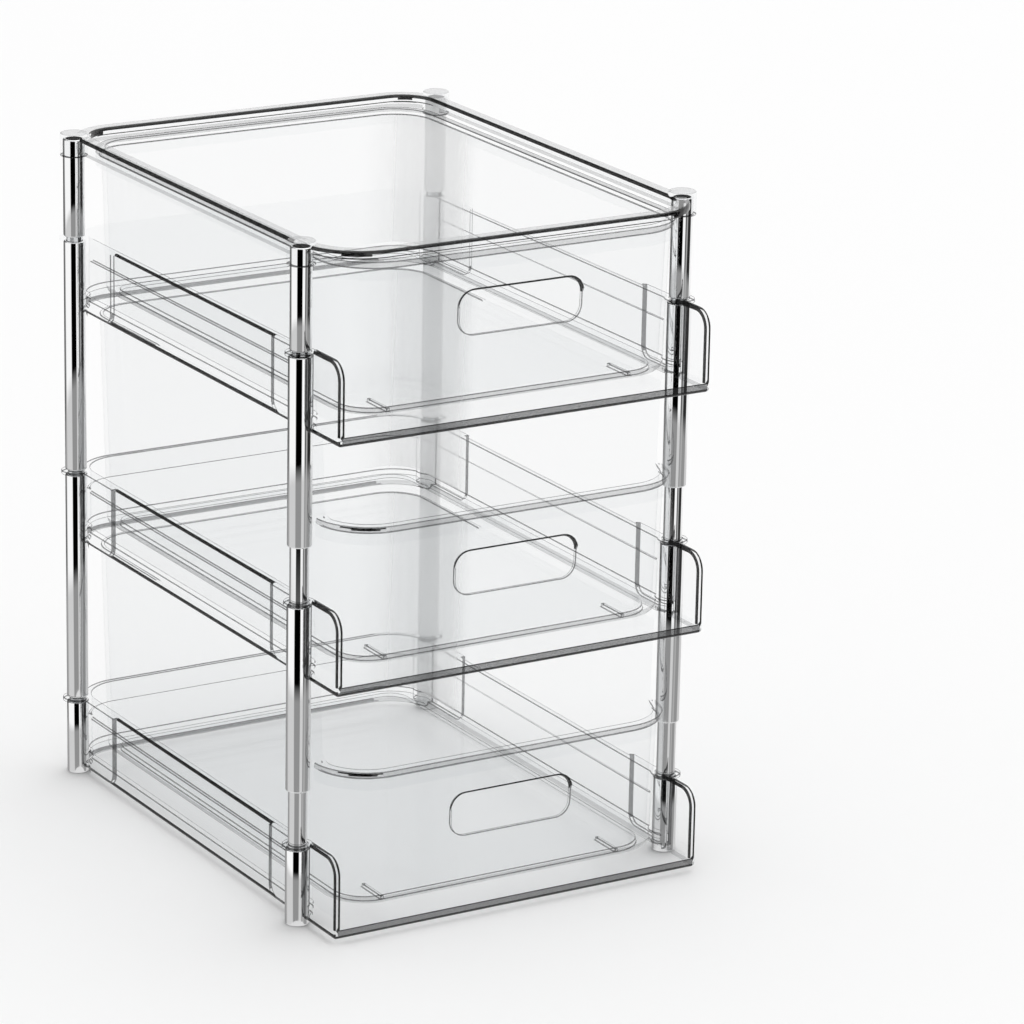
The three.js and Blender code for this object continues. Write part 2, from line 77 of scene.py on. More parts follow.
RING = (110.5, -146, 151, 33, 26)
RING_LOW, RING_HIGH = 350.8, 355.5
TRAY = (107.7, FRONT, REAR, 2, 26)
TRAY_HEIGHT, TRAY_FLOOR, TRAY_WALL = 41, 9, 2.4
RIM = (101.5, -146, 144, 30, 24)
DRAWER_WALL = 2.2
DRAFT = 0.03
DRAWER_LIFT = TRAY_FLOOR + GAP
BEYOND = 130
print("storey:", STOREY, "mm, posts at", (POST_X, FRONT_POST_Y, REAR_POST_Y))

# %% [markdown]
# ## Camera
# The photo was taken with a long lens from the left, a little above the top of the organizer. The camera's
# place comes from a direction and a distance to a point of the object, which is easier to read than a matrix.

# %% Camera
HEADING, TILT, ROLL = (math.radians(a) for a in (31.154, 17.578, 1.129))
DISTANCE = 2.7678
TARGET = Vector((0.08821, 0.009, 0.15405))
SENSOR, LENS = 36, 181.27

forward = Vector((math.sin(HEADING) * math.cos(TILT), math.cos(HEADING) * math.cos(TILT), -math.sin(TILT)))
right = Vector((math.cos(HEADING), -math.sin(HEADING), 0))
up = right.cross(forward)
turned_right = math.cos(ROLL) * right + math.sin(ROLL) * up
turned_up = -math.sin(ROLL) * right + math.cos(ROLL) * up
place = Matrix((turned_right, turned_up, -forward)).transposed().to_4x4()
place.translation = TARGET - DISTANCE * forward
camera_data = bpy.data.cameras.new("camera")
camera_data.lens, camera_data.sensor_width = LENS, SENSOR
camera_data.clip_end = 100
camera = bpy.data.objects.new("camera", camera_data)
bpy.context.scene.collection.objects.link(camera)
camera.matrix_world = place
bpy.context.scene.camera = camera
print("camera at", tuple(round(v, 3) for v in camera.location))

# %% [markdown]
# ## Finishes
# The object has two main finishes, clear polished plastic and mirror chrome. Both are node trees, which can
# be wired by hand in the editor, but a few small helpers keep them short and alike.

# %% Node helpers
def new_material(name):
    """A material with its shader."""
    material = bpy.data.materials.new(name)
    material.use_nodes = True
    return material, material.node_tree.nodes["Principled BSDF"]


def add(material, kind, **inputs):
    """A new node with its inputs set, linked from other sockets where one is given."""
    tree = material.node_tree
    made = tree.nodes.new(kind)
    for key, value in inputs.items():
        socket = made.inputs[key.replace("_", " ")]
        if isinstance(value, bpy.types.NodeSocket):
            tree.links.new(value, socket)
        else:
            socket.default_value = value
    return made


def stretched(material, value, before, after):
    """A node that maps one range of a value onto another."""
    made = add(material, "ShaderNodeMapRange", Value=value)
    made.inputs["From Min"].default_value, made.inputs["From Max"].default_value = before
    made.inputs["To Min"].default_value, made.inputs["To Max"].default_value = after
    return made


def spread(material, value, low, high):
    """Stretches the middle of a noise over a range."""
    return stretched(material, value, (0.3, 0.7), (low, high)).outputs["Result"]


def maths(material, operation, *values):
    """A maths node on values, each a number or another node's socket."""
    made = material.node_tree.nodes.new("ShaderNodeMath")
    made.operation = operation
    for socket, value in zip(made.inputs, values):
        if isinstance(value, bpy.types.NodeSocket):
            material.node_tree.links.new(value, socket)
        else:
            socket.default_value = value
    return made.outputs[0]


def mixed(material, factor, first, second):
    """A mix of two shaders."""
    made = material.node_tree.nodes.new("ShaderNodeMixShader")
    for socket, value in zip(made.inputs, (factor, first, second)):
        material.node_tree.links.new(value, socket)
    return made.outputs[0]


# %% [markdown]
# ### Noise and bump
# No moulded or plated face is perfectly even. A fine noise on Object coordinates varies the gloss and raises
# the surface a little, and stays on the piece when it moves.

# %% Noise and bump
def noise(material, scale, stretch=(1, 1, 1), detail=3):
    """Noise on Object coordinates, stretched along an axis where a finish has a grain."""
    place = add(material, "ShaderNodeTexCoord")
    mapping = add(material, "ShaderNodeMapping", Vector=place.outputs["Object"], Scale=stretch)
    made = add(material, "ShaderNodeTexNoise", Vector=mapping.outputs["Vector"], Scale=scale, Detail=detail)
    return made.outputs["Fac"]


def bump(material, socket, height, strength, distance):
    """Raises the surface a little by a height."""
    made = add(material, "ShaderNodeBump", Height=height, Strength=strength, Distance=distance)
    material.node_tree.links.new(made.outputs["Normal"], socket)


# %% [markdown]
# ### Clear plastic
# A wall of clear plastic has two parallel faces, which undo each other's bend, so the light goes straight
# through and only loses a little of its strength. Each face also has gloss, which grows towards a low angle.
# The rounded edges send the light sideways into the dark part of the studio. Bending the light for real would
# turn the posts behind a wall into white mirrors, so shade is painted on the edges instead, as darker tints
# from a dark line to a pale grey. A pale veil of painted light lies as a soft spot in the drawers' rear right
# corner, where the photo shows the post behind it only faintly.

# %% Clear plastic
LIGHT_VEIL_SPOT = (0.098, 0.11, 0)
LIGHT_VEIL_REACH = (0.014, 0.046)
LIGHT_VEIL_SHARE = 0.52
HEAD_ON_GLOSS = 0.04


def light_veil_share(material):
    """A soft spot of painted light round the middle of a drawer's corner, the same at every height."""
    place = add(material, "ShaderNodeTexCoord").outputs["Object"]
    flat = add(material, "ShaderNodeMapping", Vector=place, Scale=(1, 1, 0)).outputs["Vector"]
    away = material.node_tree.nodes.new("ShaderNodeVectorMath")
    away.operation = "DISTANCE"
    material.node_tree.links.new(flat, away.inputs[0])
    away.inputs[1].default_value = LIGHT_VEIL_SPOT
    made = stretched(material, away.outputs["Value"], LIGHT_VEIL_REACH, (LIGHT_VEIL_SHARE, 0.0))
    made.interpolation_type = "SMOOTHSTEP"
    return made.outputs["Result"]


def clear_plastic(name, tint, shade, gloss, light_veil=False):
    """Each face lets its share of the light straight through, and its gloss grows towards a low angle."""
    material, shader = new_material(name)
    tree = material.node_tree
    shader.inputs["Metallic"].default_value = 0 if light_veil else 1
    shader.inputs["Base Color"].default_value = (0.97, 0.97, 0.97, 1)
    tree.links.new(spread(material, noise(material, 60), 0.0, 0.06), shader.inputs["Roughness"])
    bump(material, shader.inputs["Normal"], noise(material, 30, detail=1), 0.05, 0.0004)
    facing = add(material, "ShaderNodeLayerWeight", Blend=0.5).outputs["Facing"]
    low_angle = maths(material, "POWER", facing, 5)
    mirrored = maths(material, "MULTIPLY_ADD", low_angle, (1 - HEAD_ON_GLOSS) * gloss, HEAD_ON_GLOSS * gloss)
    # Painted light: a white matt share that pales the faces round the spot.
    if light_veil:
        mirrored = maths(material, "ADD", mirrored, light_veil_share(material))
    through = add(material, "ShaderNodeBsdfTransparent", Color=(*tint, 1))
    surface = mixed(material, mirrored, through.outputs[0], shader.outputs[0])
    shadow = add(material, "ShaderNodeBsdfTransparent", Color=(shade, shade, shade, 1))
    rays = add(material, "ShaderNodeLightPath")
    seen = mixed(material, rays.outputs["Is Shadow Ray"], surface, shadow.outputs[0])
    tree.links.new(seen, tree.nodes["Material Output"].inputs["Surface"])
    return material


CLEAR = clear_plastic("clear_plastic", (0.984, 0.986, 0.987), 0.998, 0.15)
# Painted shade: the edges' darker tints, in place of the light that is sent into the dark studio.
DARK_SHADE_EDGE = clear_plastic("painted_dark_shade", (0.03, 0.03, 0.03), 0.5, 1)
GREY_SHADE_EDGE = clear_plastic("painted_grey_shade", (0.32, 0.322, 0.325), 0.6, 1)
PALE_SHADE_EDGE = clear_plastic("painted_pale_shade", (0.74, 0.742, 0.745), 0.8, 1)
# Painted light: the pale veil for the drawers' rear right corner.
LIGHT_VEIL = clear_plastic("painted_light_veil", (0.984, 0.986, 0.987), 0.998, 0.15, True)
FINISHES = CLEAR, DARK_SHADE_EDGE, GREY_SHADE_EDGE, PALE_SHADE_EDGE, LIGHT_VEIL
CLEAR_FACE, DARK_SHADE_LINE, GREY_SHADE_LINE, PALE_SHADE_LINE, LIGHT_VEIL_FACE = range(5)
print("plastic finishes:", [finish.name for finish in FINISHES])

# %% [markdown]
# ### Chrome, steel and foot plastic
# A drawn and plated tube is mirror-bright with a fine grain along its length, so the noise is stretched along
# Z. The far rear post is painted a pale, nearly white satin instead of chrome. This painted light keeps it
# faint behind the plastic as in the photo. The hidden joining pins are bright steel and the foot plugs a matt
# pale plastic.

# %% Chrome, steel and foot plastic
def chrome(name, colour, rough, metallic=1):
    """A tube's finish, with a fine grain along its length."""
    material, shader = new_material(name)
    shader.inputs["Metallic"].default_value = metallic
    shader.inputs["Base Color"].default_value = (*colour, 1)
    grain = noise(material, 900, (1, 1, 0.02))
    material.node_tree.links.new(spread(material, grain, *rough), shader.inputs["Roughness"])
    bump(material, shader.inputs["Normal"], grain, 0.03, 0.0002)
    return material


CHROME = chrome("chrome_plate", (0.93, 0.932, 0.935), (0.02, 0.06))
WASHED_OUT_CHROME = chrome("painted_light_chrome", (0.99, 0.99, 0.99), (0.45, 0.6), 0.15)
STEEL = chrome("bright_steel", (0.72, 0.73, 0.74), (0.12, 0.2))
PLUG, plug_shader = new_material("plug_plastic")
plug_shader.inputs["Base Color"].default_value = (0.75, 0.76, 0.76, 1)
PLUG.node_tree.links.new(spread(PLUG, noise(PLUG, 300), 0.35, 0.5), plug_shader.inputs["Roughness"])
bump(PLUG, plug_shader.inputs["Normal"], noise(PLUG, 900), 0.1, 0.0003)
print("metal and foot finishes:", [finish.name for finish in (CHROME, WASHED_OUT_CHROME, STEEL, PLUG)])

# %% [markdown]
# ### Painting and seating
# Each finished piece gets its finishes, rides on its body, and stands for the CAD node that it replaces. A
# tray or drawer that repeats is modelled once and copied with a mesh of its own.

# %% Painting and seating
def paint(obj, *materials):
    """Gives an object its finishes, in the order of its slots."""
    obj.data.materials.clear()
    for material in materials:
        obj.data.materials.append(material)
    return obj


def stand_for(obj, body, slot, *nodes):
    """A finished piece rides on its body and stands for CAD nodes."""
    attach(obj, body)
    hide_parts(*nodes)


def copied(obj, name, shift):
    """A copy with its own mesh, its place in the mesh."""
    made = obj.copy()
    made.data = obj.data.copy()
    made.name = made.data.name = name
    bpy.context.scene.collection.objects.link(made)
    made.data.transform(Matrix.Translation(Vector(shift) * MM))
    return made


# %% [markdown]
# ## Helpers for modelling
# An operator acts on all that is selected, so every step starts by selecting just what it needs. These few
# helpers do what a hand does in the viewport: pick by place, add a rounded plate, cut and join.

# %% Pick and select
def only(obj):
    """Makes one object the only selected and the active one."""
    bpy.ops.object.select_all(action="DESELECT")
    obj.select_set(True)
    bpy.context.view_layer.objects.active = obj


def pick(obj, kind, test):
    """Enters edit mode with just the vertices, edges or faces selected whose middle passes the test."""
    only(obj)
    bpy.ops.object.mode_set(mode="EDIT")
    bpy.ops.mesh.select_mode(type=kind)
    bpy.ops.mesh.select_all(action="DESELECT")
    bpy.ops.object.mode_set(mode="OBJECT")
    mesh = obj.data
    if kind == "VERT":
        for vertex in mesh.vertices:
            vertex.select = test(vertex.co)
    elif kind == "EDGE":
        for edge in mesh.edges:
            a, b = (mesh.vertices[i].co for i in edge.vertices)
            edge.select = test(a, b)
    else:
        for face in mesh.polygons:
            face.select = test(face.center, face.normal)
    bpy.ops.object.mode_set(mode="EDIT")


def done(obj):
    """Leaves edit mode with all faces pointing outwards."""
    bpy.ops.mesh.select_all(action="SELECT")
    bpy.ops.mesh.normals_make_consistent(inside=False)
    bpy.ops.object.mode_set(mode="OBJECT")
    return obj


# %% [markdown]
# ### Plates and blocks
# The moulded pieces start as a flat plate with bevelled corners, which is pulled up into a block or inset
# downwards into a leaning tub. Bevelling the plate's four corner points is simpler than rounding the upright
# edges of a finished block, and serves both shapes.

# %% Plates and blocks
CORNER_STEP = 1.9
SNAP = 0.01 * MM


def shrunk(outline, inset):
    """A rounded outline moved inwards all round."""
    half_width, front, rear, front_radius, rear_radius = outline
    return (half_width - inset, front + inset, rear - inset,
            max(front_radius - inset, 0.5), max(rear_radius - inset, 0.5))


def plate(name, outline, z):
    """A flat face with round corners at a height, left in edit mode."""
    half_width, front, rear, front_radius, rear_radius = outline
    bpy.ops.object.select_all(action="DESELECT")
    bpy.ops.mesh.primitive_plane_add(size=1, location=(0, (front + rear) / 2 * MM, z * MM))
    obj = bpy.context.object
    obj.name = obj.data.name = name
    obj.scale = (2 * half_width * MM, (rear - front) * MM, 1)
    bpy.ops.object.transform_apply(location=True, rotation=True, scale=True)
    paint(obj, *FINISHES)
    for y, radius in ((front, front_radius), (rear, rear_radius)):
        pick(obj, "VERT", lambda co: abs(co.y - y * MM) < SNAP)
        steps = max(3, round(radius / CORNER_STEP))
        bpy.ops.mesh.bevel(offset=radius * MM, segments=steps, affect="VERTICES")
        bpy.ops.object.mode_set(mode="OBJECT")
    pick(obj, "FACE", lambda centre, normal: True)
    return obj


def round_level(obj, z, radius, steps):
    """Rounds the edges that lie flat at a height."""
    pick(obj, "EDGE", lambda a, b: max(abs(a.z - z * MM), abs(b.z - z * MM)) < SNAP)
    bpy.ops.mesh.bevel(offset=radius * MM, segments=steps, affect="EDGES")
    return done(obj)


def block(name, outline, low, high, round_edges=0, steps=3):
    """A straight block on a rounded outline, with round top and bottom edges where a radius is given."""
    obj = plate(name, outline, low)
    bpy.ops.mesh.extrude_region_move(TRANSFORM_OT_translate={"value": (0, 0, (high - low) * MM)})
    done(obj)
    if round_edges:
        pick(obj, "EDGE", lambda a, b: abs(a.z - b.z) < SNAP)
        bpy.ops.mesh.bevel(offset=round_edges * MM, segments=steps, affect="EDGES")
        done(obj)
    return obj


def leaning_block(name, outline, levels):
    """A block that narrows on its way down: each level is a height and an inset from the outline."""
    top, first_inset = levels[0]
    obj = plate(name, shrunk(outline, first_inset), top)
    bpy.ops.mesh.flip_normals()
    for (high, inset), (low, next_inset) in zip(levels, levels[1:]):
        bpy.ops.mesh.inset(thickness=max(next_inset - inset, 0.001) * MM, depth=(high - low) * MM)
    bpy.ops.object.mode_set(mode="OBJECT")
    pick(obj, "EDGE", lambda a, b: min(a.z, b.z) > (top - 0.01) * MM)
    bpy.ops.mesh.edge_face_add()
    return done(obj)


# %% [markdown]
# ### Boxes, bars and borders
# Plain boxes and round bars are tools for cutting, and the start of the smaller parts. A border is a row of
# edges that parts two finishes on one wall, without any change of its shape.

# %% Boxes, bars and borders
def box(name, low, high):
    """A plain box between two corners."""
    bpy.ops.object.select_all(action="DESELECT")
    centre = [(a + b) / 2 * MM for a, b in zip(low, high)]
    bpy.ops.mesh.primitive_cube_add(size=1, location=centre)
    obj = bpy.context.object
    obj.name = name
    obj.scale = [(b - a) * MM for a, b in zip(low, high)]
    bpy.ops.object.transform_apply(location=True, rotation=True, scale=True)
    return paint(obj, *FINISHES)


def rod(name, x, y, radius, low, high, sides=48):
    """An upright round bar."""
    bpy.ops.object.select_all(action="DESELECT")
    bpy.ops.mesh.primitive_cylinder_add(
        vertices=sides, radius=radius * MM, depth=(high - low) * MM,
        location=(x * MM, y * MM, (low + high) / 2 * MM))
    obj = bpy.context.object
    obj.name = obj.data.name = name
    bpy.ops.object.transform_apply(location=True, rotation=True, scale=True)
    return paint(obj, *FINISHES)


def split(obj, place, across=(0, 0, 1)):
    """Adds a row of edges all round at a place along an axis, as a border between two finishes."""
    only(obj)
    bpy.ops.object.mode_set(mode="EDIT")
    bpy.ops.mesh.select_all(action="SELECT")
    bpy.ops.mesh.bisect(plane_co=Vector(across) * place * MM, plane_no=across)
    bpy.ops.object.mode_set(mode="OBJECT")
    return obj


# %% [markdown]
# ### Cut and join
# A tool maker mills the room, the slots and the bores out of solid blocks, and the boolean modifier does the
# same here. It keeps the finish of every face that it takes over.

# %% Cut and join
def combine(obj, operation, *others):
    """Cuts away, joins or keeps what it shares with other solids, which are used up."""
    for other in others:
        modifier = obj.modifiers.new(operation, "BOOLEAN")
        modifier.operation, modifier.solver, modifier.object = operation, "MANIFOLD", other
        only(obj)
        bpy.ops.object.modifier_apply(modifier=modifier.name)
        bpy.data.objects.remove(other)
    return obj


def cut(obj, *others):
    """Cuts other solids out of a piece."""
    return combine(obj, "DIFFERENCE", *others)


def join(obj, *others):
    """Joins other solids to a piece."""
    return combine(obj, "UNION", *others)


# %% [markdown]
# ### Edges
# No moulded edge is sharp. After the cuts, slivers are merged, the sharp edges that are left get a small
# radius, and the new faces get a finish, mostly a darker tint that paints a line of shade. A bevel modifier
# could do the same, but not with another finish for each group of edges. The sharpness limit leaves out edges
# that are round already.

# %% Edges
MERGE = 0.3
SHARP = 50
SMOOTH = 40


def tidy(obj):
    """Drops the slivers that cuts leave, so that a bevel has clean edges to run along."""
    only(obj)
    bpy.ops.object.mode_set(mode="EDIT")
    bpy.ops.mesh.select_all(action="SELECT")
    bpy.ops.mesh.remove_doubles(threshold=MERGE * MM)
    return done(obj)


def pick_sharp(obj):
    """Enters edit mode with just the sharp edges selected."""
    only(obj)
    bpy.ops.object.mode_set(mode="EDIT")
    bpy.ops.mesh.select_mode(type="EDGE")
    bpy.ops.mesh.select_all(action="DESELECT")
    bpy.ops.mesh.edges_select_sharp(sharpness=math.radians(SHARP))


def soften(obj, width, slot, test, steps=2):
    """Rounds the sharp edges that pass a test, and gives their new faces a finish, mostly a tint of painted
    shade.
    """
    pick_sharp(obj)
    bpy.ops.object.mode_set(mode="OBJECT")
    sharp = {tuple(edge.vertices) for edge in obj.data.edges if edge.select}
    places = [vertex.co.copy() for vertex in obj.data.vertices]
    chosen = {(tuple(places[i]), tuple(places[k])) for i, k in sharp if test(places[i], places[k])}
    pick(obj, "EDGE", lambda a, b: (tuple(a), tuple(b)) in chosen)
    bpy.ops.mesh.bevel(offset=width * MM, segments=steps, affect="EDGES", clamp_overlap=False, material=slot)
    return done(obj)


def finish_faces(obj, slot, test):
    """Gives the faces that pass a test one of the piece's finishes."""
    for face in obj.data.polygons:
        if test(face.center, face.normal):
            face.material_index = slot
    return obj


def smooth(obj):
    """Smooths the round stretches and keeps the flat faces flat in the light."""
    only(obj)
    bpy.ops.object.shade_smooth_by_angle(angle=math.radians(SMOOTH))
    normals = obj.modifiers.new("normals", "WEIGHTED_NORMAL")
    normals.keep_sharp = True
    bpy.ops.object.modifier_apply(modifier=normals.name)
    return obj


# %% [markdown]
# ## Chrome posts
# Each post is a stack of four tubes. A tube is a cylinder whose ends are inset and bridged into a bore, with
# a small bevel on the outer edge, as a cut and deburred tube has. At the two lower collars of the front posts
# the long joining pins show as narrow necks, which are plated like the tubes.

# %% Tubes
FRONT_LEG, FRONT_TOP_LEG, REAR_LEG = 6.25, 5.55, 5.8
NECK, NECK_LENGTH, PIN_PLUG = 4.9, 28.5, 12
THIN_PIN = 4.2
LUG = 2
TUBE_TOP = 354
TUBE_SIDES = 64


def turned(piece):
    """Smooths a turned part's barrel and plates it."""
    bpy.ops.object.shade_smooth_by_angle(angle=math.radians(30))
    return paint(piece, CHROME)


def tube(name, x, y, radius, bore, low, high):
    """A tube with a bore and a deburred outer edge."""
    obj = rod(name, x, y, radius, low, high, TUBE_SIDES)
    pick(obj, "FACE", lambda centre, normal: abs(normal.z) > 0.9)
    bpy.ops.mesh.inset(thickness=(radius - bore) * MM)
    bpy.ops.mesh.bridge_edge_loops()
    bpy.ops.object.mode_set(mode="OBJECT")
    rim = (radius - 0.05) * MM
    centre = Vector((x, y, 0)) * MM
    pick(obj, "EDGE", lambda a, b: abs(a.z - b.z) < SNAP and (a.xy - centre.xy).length > rim
         and (b.xy - centre.xy).length > rim)
    bpy.ops.mesh.bevel(offset=0.8 * MM, segments=3, affect="EDGES")
    return turned(done(obj))


# %% [markdown]
# ### All the posts
# A tube starts just over its collar, or over the bare neck, and ends just under the next lug. One loop makes
# the four stacks from the same list of storeys, which keeps the posts alike.

# %% All the posts
for depth, y in (("front", FRONT_POST_Y), ("rear", REAR_POST_Y)):
    is_front = depth == "front"
    leg = FRONT_LEG if is_front else REAR_LEG
    neck = NECK if is_front else THIN_PIN
    bare = NECK_LENGTH if is_front else 0
    storeys = (
        ("top", FRONT_TOP_LEG if is_front else REAR_LEG, THIN_PIN, COLLARS["top"] + GAP, TUBE_TOP),
        ("upper", leg, neck, COLLARS["middle"] + GAP + bare, COLLARS["top"] - LUG - GAP),
        ("middle", leg, neck, COLLARS["bottom"] + GAP + bare, COLLARS["middle"] - LUG - GAP),
        ("foot", leg, neck, 0, COLLARS["bottom"] - LUG - GAP),
    )
    for side, x in (("left", -POST_X), ("right", POST_X)):
        corner = f"{depth}_{side}"
        for storey, radius, pin, low, high in storeys:
            piece = tube(f"{corner}_{storey}_tube", x, y, radius, pin + GAP, low, high)
            # Painted light: the far rear post's tubes get the pale finish, so that they show faintly.
            if corner == "rear_right":
                paint(piece, WASHED_OUT_CHROME)
            stand_for(piece, "stand", "chrome_tube", f"{corner}_{storey}_leg")
        for collar in ("middle", "bottom") if is_front else ():
            low = COLLARS[collar] - LUG - PIN_PLUG
            high = COLLARS[collar] + NECK_LENGTH + PIN_PLUG
            piece = turned(rod(f"{corner}_{collar}_neck", x, y, NECK, low, high, TUBE_SIDES))
            stand_for(piece, "stand", "pin_steel", f"{corner}_{collar}_pin")
print("tubes and necks done")

# %% [markdown]
# ### Nodes that stay as packed
# The hidden joining pins and the foot plugs need no finer shape. They keep their CAD meshes and get a finish.

# %% Nodes that stay as packed
for name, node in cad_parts.items():
    if name.endswith("_pin"):
        paint(node, STEEL)
    elif name.endswith("_plug"):
        paint(node, PLUG)
print("pins and plugs painted")

# %% [markdown]
# ## Ring
# The ring is a bar with round edges on a rounded outline. A plate is pulled up, its two faces are inset and
# bridged into the opening, and the four long edges are bevelled. A curve with a round section would be as
# quick, but has no flat faces. The faces that draw the photo's dark and light lines with tints of painted
# shade are picked by where they look: up, down, or towards the photo's side.

# %% Ring
RING_WIDTH, RING_ROUND = 8, 1.8
SEEN, HEAD_ON = 0.25, 0.93


def towards_camera(normal):
    """How much a face looks at the photo's side: 1 is straight at it."""
    return -normal.dot(forward)


def framed(name, outline, width, low, high, round_edges, steps=4):
    """A closed bar on a rounded outline, with its long edges rounded."""
    obj = block(name, outline, low, high)
    pick(obj, "FACE", lambda centre, normal: abs(normal.z) > 0.9)
    bpy.ops.mesh.inset(thickness=width * MM)
    bpy.ops.mesh.bridge_edge_loops()
    done(obj)
    pick_sharp(obj)
    bpy.ops.mesh.bevel(offset=round_edges * MM, segments=steps, affect="EDGES")
    return done(obj)


ring = framed("clear_top_ring", RING, RING_WIDTH, RING_LOW, RING_HIGH, RING_ROUND)
# Painted shade: pale grey on the top faces, dark on faces towards the camera and on two corners' sides.
finish_faces(ring, PALE_SHADE_LINE, lambda centre, normal: 0.7 < normal.z)
finish_faces(ring, DARK_SHADE_LINE, lambda centre, normal: 0.1 < normal.z < 0.95
             and towards_camera(normal) > SEEN)
finish_faces(ring, DARK_SHADE_LINE, lambda centre, normal: -0.95 < normal.z < -0.3
             and towards_camera(normal) > SEEN)
finish_faces(ring, DARK_SHADE_LINE, lambda centre, normal: abs(normal.z) < 0.3
             and towards_camera(normal) > HEAD_ON)
finish_faces(ring, DARK_SHADE_LINE, lambda centre, normal: abs(normal.z) < 0.3 and centre.x > 60 * MM
             and centre.y < -100 * MM and 0.3 < normal.x < 0.95)
finish_faces(ring, DARK_SHADE_LINE, lambda centre, normal: abs(normal.z) < 0.3 and centre.x < -60 * MM
             and centre.y > 100 * MM and 0.25 < normal.x < 0.9 and normal.y < 0)
print("ring bar:", len(ring.data.polygons), "faces")

# %% [markdown]
# ### Skirt and bosses
# A thin skirt runs below the ring at the sides and the back, and four bosses sit on the post tops. They are
# solids of their own, joined to the bar before the posts' bores are cut through all of them at once. The
# skirt's lower band towards the camera, the bosses' tops and the skirt's lower edges get painted shade.

# %% Skirt and bosses
SKIRT_WALL, SKIRT_DROP, SKIRT_RISE, SKIRT_LINE = 2.4, 3.8, 1.8, 1.6
BOSS, BOSS_LOW, BOSS_TOP, BORE_TOP = 7.3, 344.8, 357.3, 354.3
THIN_ROUND = 0.3

skirt = framed("skirt", RING, SKIRT_WALL, RING_LOW - SKIRT_DROP, RING_LOW + SKIRT_RISE, THIN_ROUND, 1)
cut(skirt, box("front", (-BEYOND, -160, 340), (BEYOND, FRONT_POST_Y, 360)))
split(skirt, RING_LOW - SKIRT_LINE)
# Painted shade: pale grey on the skirt's lower band where it faces the camera.
finish_faces(skirt, PALE_SHADE_LINE, lambda centre, normal: centre.z < (RING_LOW - SKIRT_LINE) * MM
             and towards_camera(normal) > SEEN)
join(ring, skirt)
for x in (-POST_X, POST_X):
    for y in (FRONT_POST_Y, REAR_POST_Y):
        boss = rod("boss", x, y, BOSS, BOSS_LOW, BOSS_TOP)
        pick(boss, "EDGE", lambda a, b: min(a.z, b.z) > (BOSS_TOP - 0.1) * MM)
        bpy.ops.mesh.bevel(offset=1 * MM, segments=3, affect="EDGES")
        done(boss)
        # Painted shade: pale grey on the boss's top.
        finish_faces(boss, PALE_SHADE_LINE, lambda centre, normal: normal.z > 0.3)
        join(ring, boss)
for x in (-POST_X, POST_X):
    for y, leg in ((FRONT_POST_Y, FRONT_TOP_LEG), (REAR_POST_Y, REAR_LEG)):
        cut(ring, rod("bore", x, y, leg + GAP, 340, BORE_TOP))
tidy(ring)
# Painted shade: grey on the skirt's lower edges.
soften(ring, 0.5, GREY_SHADE_LINE, lambda a, b: max(a.z, b.z) < (RING_LOW - SKIRT_DROP + 0.1) * MM)
soften(ring, 0.4, CLEAR_FACE, lambda a, b: min(a.z, b.z) > (RING_HIGH + 0.1) * MM)
smooth(ring)
stand_for(ring, "stand", "clear_ring", "top_ring")
print("ring:", len(ring.data.polygons), "faces")

# %% [markdown]
# ## Drawers
# A drawer is a leaning tub, as its mould has to let it go. Its outside and its room are both made from the
# top down, each inset making the next lower outline. A block with its lower end scaled would lean too, but
# its round corners would be squeezed.

# %% Leaning tub
RIM_INSET = 3


def lean(front_height, z):
    """How far a drawer's outside stands in from the rim's outline at a height."""
    return RIM_INSET + DRAFT * (front_height - z)


def tub(name, front_height, low, high, wall, round_base, base, steps=5):
    """A leaning tub with a round base, from the top down."""
    levels = [(base + high, lean(front_height, high) + wall)]
    for step in range(steps + 1):
        angle = math.pi / 2 * (1 - step / steps)
        z = low + round_base * (1 - math.cos(angle))
        levels.append((base + z, lean(front_height, z) + wall + round_base * (1 - math.sin(angle))))
    return leaning_block(name, RIM, levels)


# %% [markdown]
# ### Finger slot and rim
# The drawer is pulled by a slot with round corners through its front wall, so its cutting tool is a bevelled
# box. The rim is a bar with a short skirt below it, which stiffens the thin wall, and painted shade on its
# faces draws a band of dark and light lines. A bar of its own is easier to round evenly than an edge of the
# tub.

# %% Finger slot and rim
RIM_THICK, RIM_ROUND = 3.6, 1.4
RIM_SKIRT_WALL, RIM_SKIRT_LOW, RIM_SKIRT_HIGH = 1.6, 9.6, 2.6
SLOT_HALF, SLOT_HALF_HEIGHT, SLOT_BELOW, SLOT_ROUND = 35, 11.2, 21.8, 8


def finger_slot(z):
    """A bar with round corners, through the front wall."""
    slot = box("slot", (-SLOT_HALF, -150, z - SLOT_HALF_HEIGHT), (SLOT_HALF, -134, z + SLOT_HALF_HEIGHT))
    pick(slot, "EDGE", lambda a, b: abs(a.y - b.y) > 1 * MM)
    bpy.ops.mesh.bevel(offset=SLOT_ROUND * MM, segments=8, affect="EDGES")
    return done(slot)


def drawer_rim(top, is_deep):
    """The rim with its skirt, in painted shade: a pale grey core, dark where it faces the camera on a deep
    drawer, between two grey lines.
    """
    rim = split(block("rim", RIM, top - RIM_THICK, top, RIM_ROUND), 10, (0, 1, 0))
    finish_faces(rim, GREY_SHADE_LINE, lambda centre, normal: 0.4 < abs(normal.z) < 0.9)
    finish_faces(rim, PALE_SHADE_LINE, lambda centre, normal: abs(normal.z) < 0.4)
    finish_faces(rim, DARK_SHADE_LINE, lambda centre, normal: abs(normal.z) < 0.4
                 and towards_camera(normal) > HEAD_ON and is_deep)
    skirt_low, skirt_high = top - RIM_SKIRT_LOW, top - RIM_SKIRT_HIGH
    return join(rim, framed("rim_skirt", RIM, RIM_SKIRT_WALL, skirt_low, skirt_high, THIN_ROUND, 1))


